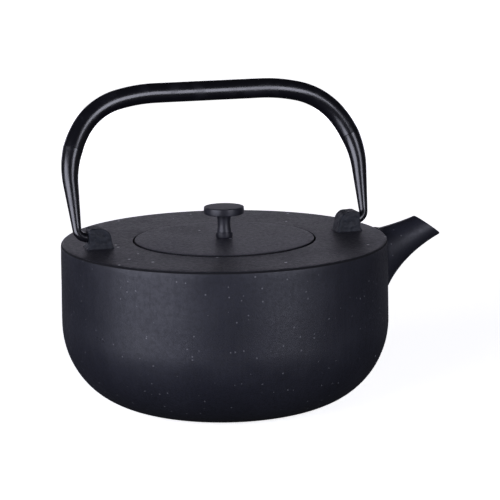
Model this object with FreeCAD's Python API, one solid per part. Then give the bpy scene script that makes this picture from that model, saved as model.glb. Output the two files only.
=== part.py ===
"""Cast-iron teapot: drum-shaped pot, short spout, flush lid over a lift-out infuser, overhead bail.

Millimetres.  +Z is up, +X points along the spout, and the origin is the centre of the flat base.
The bail is drawn upright and then leaned back to the angle at which it rests.
"""
import FreeCAD, Part
import math
import os

V = FreeCAD.Vector
ORIGIN = V(0, 0, 0)
ALONG_X = V(1, 0, 0)
ALONG_Y = V(0, 1, 0)
ALONG_Z = V(0, 0, 1)

# ---- pot
POT_HEIGHT = 87.5
BASE_RADIUS = 48.2                # flat part of the underside
BELLY_RADIUS = 88.6               # widest point of the wall
BELLY_HEIGHT = 43.9               # where the rounded underside turns into the wall
TOP_RADIUS = 88.0
RIM_ROUND = 1.3
WALL = 3.4
FLOOR = 3.6
DECK = 4.0
INNER_CORNER = 3.0
DECK_FROM = POT_HEIGHT - DECK - INNER_CORNER

# ---- seat for the lid, let into the deck
LID_HOLE_RADIUS = 49.3
SEAT_HEIGHT = 84.2                # ledge that carries the infuser's rim
SEAT_RADIUS = 44.8
SEAT_THICKNESS = 3.0
SEAT_OUTER_RADIUS = 53.0

# ---- spout, round sections along a quadratic curve in the XZ plane
SPOUT_START = (83.9, 70.1)
SPOUT_BEND = (97.7, 78.1)
SPOUT_END = (116.8, 86.7)
HORN_RADII = (7.8, 3.0, 7.0)      # a + b (1 - t) + c (1 - t)^2
PASSAGE_RADII = (5.6, 3.4, 1.6)   # the same formula for the inside
HORN_FROM = -0.5
PASSAGE_FROM = -0.35
SPOUT_TO = 1.3
SPOUT_SECTIONS = 10
LIP_SLOPE = 37.7                  # degrees that the lip falls away outwards
LIP_BEYOND = 1.3                  # lip plane beyond SPOUT_END, along its own normal

# ---- lugs that hold the bail
LUG_FOOT_INNER = 62.3
LUG_INNER_SLOPE = 1.2             # how far the inner face leans in over its height
LUG_OUTER = 75.3
LUG_FOOT_OUTER = 76.6
LUG_FOOT_HEIGHT = 2.2
LUG_HEIGHT = 10.8
LUG_WIDTH = 10.4
LUG_SHOULDER = 5.6
LUG_CORNER = 1.7
LUG_ROUND = 0.9

# ---- bail, from the middle of the bar down to a hook
HINGE_HEIGHT = POT_HEIGHT + 5.6
LEAN = 20.4                       # degrees back from upright
BAR_HEIGHT = 76.6                 # centre of the bar above the hinge
BAR_HALF_FLAT = 29.6
BAR_RADIUS = 5.4
TUBE_WALL = 1.5
BENDS = ((88.0, 14.2), (36.9, 40.6), (49.4, 36.9))     # radius and turn of each arc
TUBE_END_TURN = 70.0              # the tube stops and the tapered leg starts at this turn
SPIGOT_TURN = 9.0                 # how far the leg's spigot reaches back into the tube
SPIGOT_GAP = 0.05
HOOK_BEND = 5.0
WIRE_RADIUS = 2.4
PIN_END = 67.5
PIN_HOLE_END = 67.0
PIN_CLEARANCE = 0.05

# ---- lid
LID_RADIUS = 48.4
LID_THICKNESS = 3.0
LID_EDGE = 0.5
LOCATING_RING = (39.8, 41.8)
LOCATING_DEPTH = 3.0
SCREW_HOLE_RADIUS = 2.2

# ---- knob and its screw
KNOB_HEIGHT = 17.0
DISC_RADIUS = 10.85
DISC_THICKNESS = 3.4
DISC_ROUND = 0.7
STEM_TOP_RADIUS = 3.9
STEM_WAIST_RADIUS = 3.45
STEM_FOOT_RADIUS = 3.75
COLLAR_RADIUS = 4.3
COLLAR_HEIGHT = 3.4
COLLAR_ROUND = 0.8
SCREW_RADIUS = 2.0
THREAD_DEPTH = 9.0
SCREW_END_GAP = 0.5
HEAD_RADIUS = 3.8
HEAD_HEIGHT = 2.6
HEAD_ROUND = 1.1
SLOT_WIDTH = 1.0
SLOT_DEPTH = 1.2
WASHER_RADIUS = 5.0
WASHER_THICKNESS = 0.8

# ---- infuser
INFUSER_RIM_RADIUS = 48.6
RIM_THICKNESS = 0.8
SLEEVE_RADIUS = 43.9              # outside of the rim's collar and of the floor's edge
SLEEVE_SHEET = 0.6
MESH_SHEET = 0.4
COLLAR_DEPTH = 7.0
INFUSER_DEPTH = 50.0
CUP_EDGE = 5.0
MESH_TOP_GAP = 1.0

LID_UNDERSIDE = SEAT_HEIGHT + RIM_THICKNESS
LID_TOP = LID_UNDERSIDE + LID_THICKNESS
WASHER_UNDERSIDE = LID_UNDERSIDE - WASHER_THICKNESS
INFUSER_BOTTOM = LID_UNDERSIDE - INFUSER_DEPTH


def point(x, z):
    return V(x, 0, z)


def path(*points):
    """Straight edges through the points, in order."""
    return [Part.LineSegment(a, b).toShape() for a, b in zip(points, points[1:])]


def arc(centre, radius, start_degrees, end_degrees):
    """An arc in the XZ plane, its angles measured from +X towards +Z."""
    places = []
    for angle in (start_degrees, (start_degrees + end_degrees) / 2, end_degrees):
        turn = math.radians(angle)
        places.append(centre + point(radius * math.cos(turn), radius * math.sin(turn)))
    return [Part.Arc(*places).toShape()]


def face(edges):
    return Part.Face(Part.Wire(Part.sortEdges(edges)[0]))


def turned(edges):
    """Solid of revolution about Z from a closed outline in the XZ plane."""
    return face(edges).revolve(ORIGIN, ALONG_Z, 360)


def mirrored(shape):
    return shape.mirror(ORIGIN, ALONG_X)


# ---------------------------------------------------------------- pot

def underside(width, depth):
    """Quarter ellipse from the flat base out to the wall, about one common centre."""
    centre = point(BASE_RADIUS, BELLY_HEIGHT)
    ellipse = Part.Ellipse(centre - point(0, depth), centre + point(width, 0), centre)
    return [Part.ArcOfEllipse(ellipse, 0, math.pi / 2).toShape()]


def outer_outline():
    """Outside of the pot, from the middle of the base to the inner end of the rim's round."""
    rim_centre = point(TOP_RADIUS - RIM_ROUND, POT_HEIGHT - RIM_ROUND)
    base = path(ORIGIN, point(BASE_RADIUS, 0))
    belly = underside(BELLY_RADIUS - BASE_RADIUS, BELLY_HEIGHT)
    wall = path(point(BELLY_RADIUS, BELLY_HEIGHT), rim_centre + point(RIM_ROUND, 0))
    return base + belly + wall + arc(rim_centre, RIM_ROUND, 0, 90)


def pot_envelope():
    """The pot as if it were solid, for trimming what is cast onto it."""
    rim_end = point(TOP_RADIUS - RIM_ROUND, POT_HEIGHT)
    return turned(outer_outline() + path(rim_end, point(0, POT_HEIGHT), ORIGIN))


def make_pot_casting():
    """Bowl and deck in one, as they are cast."""
    inner_top = POT_HEIGHT - DECK
    seat_underside = SEAT_HEIGHT - SEAT_THICKNESS
    shoulder = point(TOP_RADIUS - WALL - INNER_CORNER, inner_top - INNER_CORNER)
    deck_and_seat = path(
        point(TOP_RADIUS - RIM_ROUND, POT_HEIGHT),
        point(LID_HOLE_RADIUS + LID_EDGE, POT_HEIGHT),
        point(LID_HOLE_RADIUS, POT_HEIGHT - LID_EDGE),
        point(LID_HOLE_RADIUS, SEAT_HEIGHT),
        point(SEAT_RADIUS, SEAT_HEIGHT),
        point(SEAT_RADIUS, seat_underside),
        point(SEAT_OUTER_RADIUS, seat_underside),
        point(SEAT_OUTER_RADIUS + INNER_CORNER, inner_top),
        shoulder + point(0, INNER_CORNER),
    )
    inner_corner = arc(shoulder, INNER_CORNER, 90, 0)
    inner_wall = path(shoulder + point(INNER_CORNER, 0), point(BELLY_RADIUS - WALL, BELLY_HEIGHT))
    inner_belly = underside(BELLY_RADIUS - BASE_RADIUS - WALL, BELLY_HEIGHT - FLOOR)
    inner_floor = path(point(BASE_RADIUS, FLOOR), point(0, FLOOR), ORIGIN)
    inside = inner_corner + inner_wall + inner_belly + inner_floor
    return turned(outer_outline() + deck_and_seat + inside).cut(spout_passage())


def below_deck():
    """Block that holds all of the pot under the level where its wall turns in to the deck."""
    return Part.makeCylinder(2 * TOP_RADIUS, DECK_FROM)


def make_pot_bowl():
    """Floor and wall, open at the top."""
    return make_pot_casting().common(below_deck())


def make_pot_deck():
    """Flat top with its rim and the seat for the lid."""
    return make_pot_casting().cut(below_deck())


# ---------------------------------------------------------------- spout

def spout_circle(t, radii):
    """Circle across the spout's curve at t: 0 at the pot's wall and 1 near the lip."""
    back = 1 - t
    points = list(zip(SPOUT_START, SPOUT_BEND, SPOUT_END))
    centre = [back * back * a + 2 * t * back * b + t * t * c for a, b, c in points]
    heading = [back * (b - a) + t * (c - b) for a, b, c in points]
    radius = radii[0] + radii[1] * back + radii[2] * back * back
    return Part.Wire(Part.makeCircle(radius, point(*centre), point(*heading)))


def spout_horn(radii, first):
    step = (SPOUT_TO - first) / (SPOUT_SECTIONS - 1)
    circles = [spout_circle(first + step * k, radii) for k in range(SPOUT_SECTIONS)]
    return Part.makeLoft(circles, True, False)


def spout_passage():
    return spout_horn(PASSAGE_RADII, PASSAGE_FROM)


def beyond_lip():
    """Block that covers everything beyond the sloping plane of the lip."""
    size = 60
    block = Part.makeBox(size, size, size, V(-size / 2, -size / 2, 0))
    block.rotate(ORIGIN, ALONG_Y, LIP_SLOPE)
    slope = math.radians(LIP_SLOPE)
    normal = point(math.sin(slope), math.cos(slope))
    block.translate(point(*SPOUT_END) + normal * LIP_BEYOND)
    return block


def make_spout():
    horn = spout_horn(HORN_RADII, HORN_FROM).cut(beyond_lip())
    return horn.cut(pot_envelope()).cut(spout_passage())


# ---------------------------------------------------------------- lugs

def make_front_lug():
    """Cast block with a blind hole in its outer face for one hook of the bail."""
    top = POT_HEIGHT + LUG_HEIGHT
    shoulder = point(LUG_FOOT_INNER + LUG_INNER_SLOPE + LUG_SHOULDER, top - LUG_SHOULDER)
    corner = point(LUG_OUTER - LUG_CORNER, top - LUG_CORNER)
    outline = (
        path(point(LUG_FOOT_INNER, POT_HEIGHT), shoulder - point(LUG_SHOULDER, 0))
        + arc(shoulder, LUG_SHOULDER, 180, 90)
        + path(shoulder + point(0, LUG_SHOULDER), corner + point(0, LUG_CORNER))
        + arc(corner, LUG_CORNER, 90, 0)
        + path(
            corner + point(LUG_CORNER, 0),
            point(LUG_OUTER, POT_HEIGHT + LUG_FOOT_HEIGHT),
            point(LUG_FOOT_OUTER, POT_HEIGHT),
            point(LUG_FOOT_INNER, POT_HEIGHT),
        )
    )
    block = face(outline).extrude(ALONG_Y * LUG_WIDTH)
    block.translate(ALONG_Y * (-LUG_WIDTH / 2))
    side_edges = [
        edge for edge in block.Edges
        if edge.BoundBox.YLength < 1e-6 and edge.BoundBox.ZMax > POT_HEIGHT + 1e-6
    ]
    block = block.makeFillet(LUG_ROUND, side_edges)
    hole = Part.makeCylinder(
        WIRE_RADIUS + PIN_CLEARANCE, LUG_FOOT_OUTER - PIN_HOLE_END,
        point(PIN_HOLE_END, HINGE_HEIGHT), ALONG_X,
    )
    return block.cut(hole)


# ---------------------------------------------------------------- bail

def along(heading):
    """Unit vector of travel: a heading of 0 is +X and 90 is straight down."""
    turn = math.radians(heading)
    return point(math.cos(turn), -math.sin(turn))


def outwards(heading):
    turn = math.radians(heading)
    return point(math.sin(turn), math.cos(turn))


def bend_arcs(first_turn, last_turn):
    """The bail's bends between two headings, and the place where all of them end."""
    place = point(BAR_HALF_FLAT, HINGE_HEIGHT + BAR_HEIGHT)
    heading = 0
    edges = []
    for radius, turn in BENDS:
        centre = place - outwards(heading) * radius
        low = max(heading, first_turn)
        high = min(heading + turn, last_turn)
        if low < high:
            edges += arc(centre, radius, 90 - low, 90 - high)
        heading += turn
        place = centre + outwards(heading) * radius
    return edges, place


def circle_across(wire_edges, radius, at_end=False):
    """Circle across a run of edges at its start or its end."""
    edge = wire_edges[-1] if at_end else wire_edges[0]
    where = edge.LastParameter if at_end else edge.FirstParameter
    return Part.Wire(Part.makeCircle(radius, edge.valueAt(where), edge.tangentAt(where)))


def swept(edges, *sections):
    return Part.Wire(edges).makePipeShell(list(sections), True, False)


def leaned(shape):
    shape.rotate(point(0, HINGE_HEIGHT), ALONG_X, -LEAN)
    return shape


def make_handle_grip():
    """Bent tube of constant size: the bar and its two shoulders."""
    bar = path(point(0, HINGE_HEIGHT + BAR_HEIGHT), point(BAR_HALF_FLAT, HINGE_HEIGHT + BAR_HEIGHT))
    edges = bar + bend_arcs(0, TUBE_END_TURN)[0]
    outside = swept(edges, circle_across(edges, BAR_RADIUS))
    bore = swept(edges, circle_across(edges, BAR_RADIUS - TUBE_WALL))
    half = outside.cut(bore)
    return leaned(half.fuse(mirrored(half)).removeSplitter())


def make_front_leg():
    """Tapered leg with a spigot up into the tube and a hook that turns in to the lug."""
    leg_heading = sum(turn for radius, turn in BENDS)
    bends, bends_end = bend_arcs(TUBE_END_TURN, leg_heading)
    hook_rise = HOOK_BEND * (1 + math.cos(math.radians(leg_heading)))
    drop = bends_end.z - HINGE_HEIGHT - hook_rise
    leg_end = bends_end + along(leg_heading) * (drop / math.sin(math.radians(leg_heading)))
    leg = bends + path(bends_end, leg_end)
    taper = swept(
        leg,
        circle_across(leg, BAR_RADIUS),
        circle_across(leg, WIRE_RADIUS, at_end=True),
    )

    hook_centre = leg_end - outwards(leg_heading) * HOOK_BEND
    hook = arc(hook_centre, HOOK_BEND, 90 - leg_heading, -90)
    hook += path(hook_centre - point(0, HOOK_BEND), point(PIN_END, HINGE_HEIGHT))
    hooked_wire = swept(hook, circle_across(hook, WIRE_RADIUS))

    spigot_path = bend_arcs(TUBE_END_TURN - SPIGOT_TURN, TUBE_END_TURN)[0]
    spigot_radius = BAR_RADIUS - TUBE_WALL - SPIGOT_GAP
    spigot = swept(spigot_path, circle_across(spigot_path, spigot_radius))
    return taper.fuse([hooked_wire, spigot])


# ---------------------------------------------------------------- lid

def make_lid_plate():
    inner, outer = LOCATING_RING
    edge_centre = point(LID_RADIUS - LID_EDGE, LID_TOP - LID_EDGE)
    outline = (
        path(
            point(SCREW_HOLE_RADIUS, LID_TOP),
            point(SCREW_HOLE_RADIUS, LID_UNDERSIDE),
            point(inner, LID_UNDERSIDE),
            point(inner, LID_UNDERSIDE - LOCATING_DEPTH),
            point(outer, LID_UNDERSIDE - LOCATING_DEPTH),
            point(outer, LID_UNDERSIDE),
            point(LID_RADIUS, LID_UNDERSIDE),
            edge_centre + point(LID_EDGE, 0),
        )
        + arc(edge_centre, LID_EDGE, 0, 90)
        + path(edge_centre + point(0, LID_EDGE), point(SCREW_HOLE_RADIUS, LID_TOP))
    )
    return turned(outline)


def make_lid_knob():
    """Turned knob: collar, waisted stem and thin disc, with a threaded hole from below."""
    collar_top = LID_TOP + COLLAR_HEIGHT
    disc_underside = LID_TOP + KNOB_HEIGHT - DISC_THICKNESS
    knob_top = LID_TOP + KNOB_HEIGHT
    collar_corner = point(COLLAR_RADIUS - COLLAR_ROUND, LID_TOP + COLLAR_ROUND)
    low_corner = point(DISC_RADIUS - DISC_ROUND, disc_underside + DISC_ROUND)
    high_corner = point(DISC_RADIUS - DISC_ROUND, knob_top - DISC_ROUND)
    waist = Part.Arc(
        point(STEM_FOOT_RADIUS, collar_top),
        point(STEM_WAIST_RADIUS, (collar_top + disc_underside) / 2),
        point(STEM_TOP_RADIUS, disc_underside),
    ).toShape()
    outline = (
        path(
            point(0, knob_top),
            point(0, LID_TOP + THREAD_DEPTH),
            point(SCREW_RADIUS, LID_TOP + THREAD_DEPTH),
            point(SCREW_RADIUS, LID_TOP),
            collar_corner - point(0, COLLAR_ROUND),
        )
        + arc(collar_corner, COLLAR_ROUND, -90, 0)
        + path(
            collar_corner + point(COLLAR_ROUND, 0),
            point(COLLAR_RADIUS, collar_top - LID_EDGE),
            point(STEM_FOOT_RADIUS, collar_top),
        )
        + [waist]
        + path(point(STEM_TOP_RADIUS, disc_underside), low_corner - point(0, DISC_ROUND))
        + arc(low_corner, DISC_ROUND, -90, 0)
        + path(low_corner + point(DISC_ROUND, 0), high_corner + point(DISC_ROUND, 0))
        + arc(high_corner, DISC_ROUND, 0, 90)
        + path(high_corner + point(0, DISC_ROUND), point(0, knob_top))
    )
    return turned(outline)


def make_knob_screw():
    """Slotted pan-head screw, driven up through the washer and the lid into the knob."""
    shank_top = LID_TOP + THREAD_DEPTH - SCREW_END_GAP
    head_bottom = WASHER_UNDERSIDE - HEAD_HEIGHT
    head_corner = point(HEAD_RADIUS - HEAD_ROUND, head_bottom + HEAD_ROUND)
    outline = arc(head_corner, HEAD_ROUND, -90, 0) + path(
        head_corner + point(HEAD_ROUND, 0),
        point(HEAD_RADIUS, WASHER_UNDERSIDE),
        point(SCREW_RADIUS, WASHER_UNDERSIDE),
        point(SCREW_RADIUS, shank_top),
        point(0, shank_top),
        point(0, head_bottom),
        head_corner - point(0, HEAD_ROUND),
    )
    slot_corner = V(-HEAD_RADIUS, -SLOT_WIDTH / 2, head_bottom)
    slot = Part.makeBox(2 * HEAD_RADIUS, SLOT_WIDTH, SLOT_DEPTH, slot_corner)
    return turned(outline).cut(slot)


def make_knob_washer():
    return turned(path(
        point(SCREW_HOLE_RADIUS, WASHER_UNDERSIDE),
        point(WASHER_RADIUS, WASHER_UNDERSIDE),
        point(WASHER_RADIUS, LID_UNDERSIDE),
        point(SCREW_HOLE_RADIUS, LID_UNDERSIDE),
        point(SCREW_HOLE_RADIUS, WASHER_UNDERSIDE),
    ))


# ---------------------------------------------------------------- infuser

def make_infuser_rim():
    """Flat rim that sits on the ledge, with a collar that holds the mesh."""
    inner = SLEEVE_RADIUS - SLEEVE_SHEET
    return turned(path(
        point(inner, LID_UNDERSIDE),
        point(inner, SEAT_HEIGHT - COLLAR_DEPTH),
        point(SLEEVE_RADIUS, SEAT_HEIGHT - COLLAR_DEPTH),
        point(SLEEVE_RADIUS, SEAT_HEIGHT),
        point(INFUSER_RIM_RADIUS, SEAT_HEIGHT),
        point(INFUSER_RIM_RADIUS, LID_UNDERSIDE),
        point(inner, LID_UNDERSIDE),
    ))


def make_infuser_mesh():
    outer = SLEEVE_RADIUS - SLEEVE_SHEET
    inner = outer - MESH_SHEET
    low = INFUSER_BOTTOM + SLEEVE_SHEET
    high = LID_UNDERSIDE - MESH_TOP_GAP
    return turned(path(
        point(inner, low),
        point(outer, low),
        point(outer, high),
        point(inner, high),
        point(inner, low),
    ))


def make_infuser_floor():
    """Shallow cup that closes the mesh from below."""
    inner = SLEEVE_RADIUS - SLEEVE_SHEET
    return turned(path(
        point(0, INFUSER_BOTTOM),
        point(SLEEVE_RADIUS, INFUSER_BOTTOM),
        point(SLEEVE_RADIUS, INFUSER_BOTTOM + CUP_EDGE),
        point(inner, INFUSER_BOTTOM + CUP_EDGE),
        point(inner, INFUSER_BOTTOM + SLEEVE_SHEET),
        point(0, INFUSER_BOTTOM + SLEEVE_SHEET),
        point(0, INFUSER_BOTTOM),
    ))


def make_all():
    front_lug = make_front_lug()
    front_leg = make_front_leg()
    return {
        "pot_bowl": make_pot_bowl(),
        "pot_deck": make_pot_deck(),
        "spout": make_spout(),
        "front_lug": front_lug,
        "rear_lug": mirrored(front_lug),
        "handle_grip": make_handle_grip(),
        "front_handle_leg": leaned(front_leg.copy()),
        "rear_handle_leg": leaned(mirrored(front_leg)),
        "lid_plate": make_lid_plate(),
        "lid_knob": make_lid_knob(),
        "knob_screw": make_knob_screw(),
        "knob_washer": make_knob_washer(),
        "infuser_rim": make_infuser_rim(),
        "infuser_mesh": make_infuser_mesh(),
        "infuser_floor": make_infuser_floor(),
    }


os.makedirs("parts", exist_ok=True)
for name, shape in make_all().items():
    shape.exportStep(f"parts/{name}.step")
    solids = len(shape.Solids)
    print(f"{name}: {solids} solid, valid {shape.isValid()}, {shape.Volume / 1000:.1f} cm3")
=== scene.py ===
"""Looks of the cast-iron teapot, on the frame that the CAD model gives.

Shapes are written in millimetres, in the CAD model's own axes, and reach Blender in metres.
"""
import bmesh
import bpy
import math
from mathutils import Matrix, Vector, geometry, noise


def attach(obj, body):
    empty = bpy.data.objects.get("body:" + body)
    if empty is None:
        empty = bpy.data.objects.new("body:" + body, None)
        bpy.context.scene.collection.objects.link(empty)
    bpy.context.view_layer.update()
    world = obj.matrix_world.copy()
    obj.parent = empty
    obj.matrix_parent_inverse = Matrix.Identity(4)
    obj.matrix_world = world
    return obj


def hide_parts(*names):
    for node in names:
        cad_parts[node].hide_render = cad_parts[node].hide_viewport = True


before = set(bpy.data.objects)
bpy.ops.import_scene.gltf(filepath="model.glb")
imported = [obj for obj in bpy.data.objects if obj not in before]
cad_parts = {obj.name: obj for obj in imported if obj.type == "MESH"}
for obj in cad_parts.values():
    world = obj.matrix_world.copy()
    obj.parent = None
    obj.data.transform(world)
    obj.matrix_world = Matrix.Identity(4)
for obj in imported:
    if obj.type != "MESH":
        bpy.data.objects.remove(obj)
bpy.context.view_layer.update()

MM = 0.001
SHARP_DEGREES = 38                # an edge that turns by more than this is drawn sharp
SMALL_EDGE = 0.3                  # rounding of the small cast and turned edges

# ---- pot
POT_HEIGHT = 87.5
BASE_RADIUS = 48.2
BELLY_RADIUS = 88.6
BELLY_HEIGHT = 43.9
TOP_RADIUS = 88.0
RIM_ROUND = 1.3
WALL = 3.4
FLOOR = 3.6
DECK = 4.0
LID_HOLE_RADIUS = 49.3
SEAT_HEIGHT = 84.2
SEAT_RADIUS = 44.8
SEAT_THICKNESS = 3.0
SEAT_OUTER_RADIUS = 53.0
SEAT_FLARE = 3.0                  # how far the seat's support spreads out under the deck
DECK_INNER_ROUND = 3.0
POT_AROUND = 256
POT_OUTLINE_STEP = 3.0
WALL_WAVES = 0.09                 # height of the casting's long shallow waves
WAVE_LENGTH = 16.0
WAVE_FADE = 6.0                   # the waves fade out over this height at the base and the deck
FINE_WAVE_SHARE = 0.4
FINE_WAVE_RATIO = 2.7             # how many times shorter the finer waves are
SHARP_ON_CASTING = 40

# ---- spout
SPOUT_START = (83.9, 70.1)
SPOUT_BEND = (97.7, 78.1)
SPOUT_END = (116.8, 86.7)
HORN_RADII = (7.8, 3.0, 7.0)
PASSAGE_RADII = (5.6, 3.4, 1.6)
LIP_SLOPE = math.radians(37.7)
LIP_BEYOND = 1.3
LIP_ROUND = 0.6
ROOT_FILLET = 3.2
ROOT_FILLET_ON_TOP = 1.0
ROOT_DEPTH = 1.7                  # how far the spout reaches into the pot's wall
SPOUT_AROUND = 72
SPOUT_RINGS = 44
SPOUT_CROWDING = 0.144            # how far the rings crowd towards the root and the lip
PASSAGE_SPAN = (-0.3, 1.5)        # along the spout's curve, like the next two
ROOT_WITHIN = (-0.3, 0.8)
LIP_WITHIN = (0.6, 1.5)

# ---- lugs
LUG_FOOT_INNER = 62.3
LUG_INNER_SLOPE = 1.2
LUG_OUTER = 75.3
LUG_FOOT_OUTER = 76.6
LUG_FOOT_HEIGHT = 2.2
LUG_HEIGHT = 10.8
LUG_WIDTH = 10.4
LUG_SHOULDER = 5.6
LUG_CORNER = 1.7
LUG_TOE_ROUND = 0.8
LUG_SUNK = 0.6                    # how far a lug reaches down into the deck
LUG_LOWEST = 0.5                  # how far it still does after the roughening
LUG_VOXEL = 0.32
LUG_SOFTENING = 0.5
LUG_SOFTENING_STEPS = 14
LUG_GRAIN = 0.22                  # height of the rough casting on the lugs
LUG_LUMPS = 2.6                   # width of the casting's lumps
LUG_FINE_LUMPS = 1.1
LUG_FINE_SHARE = 0.5
LUG_SWELL = 0.45                  # how far the foot spreads, and up to what height
LUG_SWELL_HEIGHT = 1.6
SHARP_ON_LUG = 60
FRONT_LUG = (1, 1.1, 1.2, 3.1)    # side, shift, lean_in and seed of make_lug
REAR_LUG = (-1, 0.0, 0.8, 8.4)
PIN_HOLE_RADIUS = 2.75
PIN_HOLE_END = 67.0
PIN_HOLE_OVERRUN = 3.0            # how far the tool sticks out of the lug's foot
PIN_HOLE_AROUND = 40

# ---- bail
HINGE_HEIGHT = POT_HEIGHT + 5.6
LEAN = math.radians(20.4)
BAR_HEIGHT = 76.6
BAR_HALF_FLAT = 29.6
BAR_RADIUS = 5.4
BENDS = ((88.0, 14.2), (36.9, 40.6), (49.4, 36.9))
TUBE_END_TURN = 70.0
HOOK_BEND = 5.0
WIRE_RADIUS = 2.4
PIN_END = 67.5
PIN_CHAMFER = 0.4
SEAM_DEPTH = 0.16
SEAM_WIDTH = 0.35
SEAM_GAP = 0.02                   # how far each piece stays back from the seam
BAIL_AROUND = 48
BAIL_STEP = 1.0
HAND_UNEVENNESS = 0.006           # share of the radius
HAND_WAVE_LENGTH = 11.0

# ---- lid and knob
LID_UNDERSIDE = 85.0
LID_TOP = 88.0
LID_RADIUS = 48.4
LID_EDGE = 0.5
LOCATING_RING = (39.8, 41.8)
LOCATING_DEPTH = 3.0
LOCATING_EDGE = 0.5
LID_OUTLINE_STEP = 4.0
SCREW_HOLE_RADIUS = 2.2
KNOB_TOP = LID_TOP + 17.2
DISC_RADIUS = 10.85
DISC_THICKNESS = 3.9
DISC_ROUND = 0.5
STEM_TOP_RADIUS = 4.15
STEM_WAIST_RADIUS = 3.45
STEM_FOOT_RADIUS = 4.05
STEM_FOOT_ROUND = 0.15
STEM_STEPS = 12
COLLAR_RADIUS = 4.5
COLLAR_HEIGHT = 3.4
COLLAR_ROUND = 0.8
COLLAR_TOP_ROUND = 0.5
KNOB_AROUND = 128
KNOB_OUTLINE_STEP = 2.0
THREAD_RADIUS = 2.0
THREAD_DEPTH = 9.0

# ---- infuser
INFUSER_BOTTOM = 35.0
SLEEVE_RADIUS = 43.9
SHEET = 0.4
FLOOR_SHEET = 0.6
NET_INSET = 0.6                   # how far the net lies inside the sleeve's face
NET_OVERLAP = 1.0                 # how far the net reaches down into the turned-up edge
CUP_EDGE = 5.0
CUP_OVERLAP = 1.5                 # how far that edge goes on above its bend
CUP_AROUND = 96
CUP_BEND_STEPS = 8
MESH_TOP = 84.0
HOLE_PITCH = 2.3
ROW_RATIO = 0.866                 # distance between rows of holes, as a share of the pitch
HOLE_RADIUS = 0.62
HOLE_SIDES = 8

# ---- finishes; a pair of colours or greys is the darker and the lighter of the clouds
CLOUDS = (0.3, 0.7)               # part of a noise's range that clouds and lumps take up
WALL_COLOURS = ((0.0108, 0.0114, 0.0165, 1.0), (0.0134, 0.0141, 0.0200, 1.0))
DECK_GREYS = (0.0155, 0.020)
DECK_TINT = (1.3, 1.04)           # blue and red, against green
GRAIN_DARK = (0.004, 0.004, 0.006, 1.0)
SHADE_DARK = (0.002, 0.002, 0.003, 1.0)
SPECK = (0.50, 0.50, 0.53, 1.0)
LUG_COLOURS = ((0.0045, 0.0055, 0.0085, 1.0), (0.0085, 0.0105, 0.0150, 1.0))
LUG_SPECK = (0.10, 0.10, 0.11, 1.0)
LACQUER_COLOURS = ((0.0040, 0.0040, 0.0055, 1.0), (0.0075, 0.0075, 0.0100, 1.0))
KNOB_COLOURS = ((0.009, 0.009, 0.012, 1.0), (0.014, 0.014, 0.019, 1.0))
INFUSER_STEEL = (0.58, 0.24, 0.38)  # grey level, lowest and highest roughness
SCREW_STEEL = (0.50, 0.20, 0.32)
LID_LIGHTNESS = 1.5               # against the deck
IRON_ROUGHNESS = (0.46, 0.50)
DECK_DULLER = 0.07                # what the roughness gains on the deck, in streaks and in the grain
STREAKS_DULLER = 0.05
GRAIN_DULLER = 0.045
LUG_ROUGHNESS = (0.50, 0.66)
LACQUER_ROUGHNESS = (0.24, 0.32)
LACQUER_SPECKS_DULLER = 0.3
KNOB_ROUGHNESS = (0.38, 0.46)
KNOB_TOP_ROUGHNESS = 0.54
STEEL_TINTS = (0.97, 0.95)        # blue against green
CLOUDY_STEEL = 0.86               # how dark the steel's clouds are
GRIT = (3.4, 0.55, 0.40)          # spacing and radius of dots, and the share of places that have one
WALL_SPECKS = (13.0, 0.62, 0.22)
DECK_SPECKS = (9.0, 1.0, 0.40)
UPRIGHT_SCRATCHES = (11.0, 0.30, 0.22)
SLANTED_SCRATCHES = (14.0, 0.32, 0.25)
LUG_SPECKS = (2.5, 0.16, 0.3)
LACQUER_SPECKS = (6.0, 0.10, 0.25)
GRIT_STRENGTH = 0.14
DECK_SPECK_STRENGTH = 0.8
SCRATCH_STRENGTH = 0.30
CASTING_PITS = ((-153.0, 47.2, 0.55), (-154.6, 47.9, 0.4), (-151.5, 46.6, 0.45))  # degrees, height, radius

# ---- view, light and stage, in metres
VIEW_TURN = math.radians(17.0)       # the camera stands this far round from straight at the pot's side
VIEW_TILT = math.radians(11.389)
VIEW_ROLL = math.radians(0.704)
VIEW_DISTANCE = 1.056
AIM_HEIGHT = 0.044
AIM_RIGHT = 0.0138
AIM_UP = 0.03626
LENS = 139.56
SENSOR_WIDTH = 36
NEAREST_SEEN = 0.05
LAMP_AIM_HEIGHT = 0.06
SOFTBOXES = (                        # bearing, elevation, distance, width, height, power, colour
    ("left_softbox", -48, 9, 0.9, 0.86, 0.60, 12.8, (0.83, 0.84, 1.0)),
    ("right_softbox", 39, 12, 0.9, 0.40, 0.50, 5.6, (0.84, 0.85, 1.0)),
    ("white_backdrop", 180, 7, 1.25, 2.4, 0.36, 5.8, (0.86, 0.84, 1.0)),
)
ROOM_BELOW = (0.35, 0.025)           # place from straight down, 0, to straight up, 1; brightness
ROOM_LEVEL = (0.5, 0.075)
ROOM_ABOVE = (0.72, 0.02)
ROOM_BLUE = 1.1
FLOOR_HALF_WIDTH = 3.0
FLOOR_FLAT = ((-3.0, 0.0), (-1.0, 0.0), (0.0, 0.0), (0.6, 0.0), (1.0, 0.0))
SWEEP_FROM = 1.3                     # where the floor starts to curve up behind the pot
SWEEP_RADIUS = 0.35
SWEEP_STEPS = 12
SWEEP_TOP = 0.75
BACKDROP_GLOW = 1.0
FLOOR_GLOW = 0.80
FLOOR_GREYS = (0.80, 0.84)
FLOOR_BLUE = 1.01


# ---------------------------------------------------------------- mesh helpers

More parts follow.
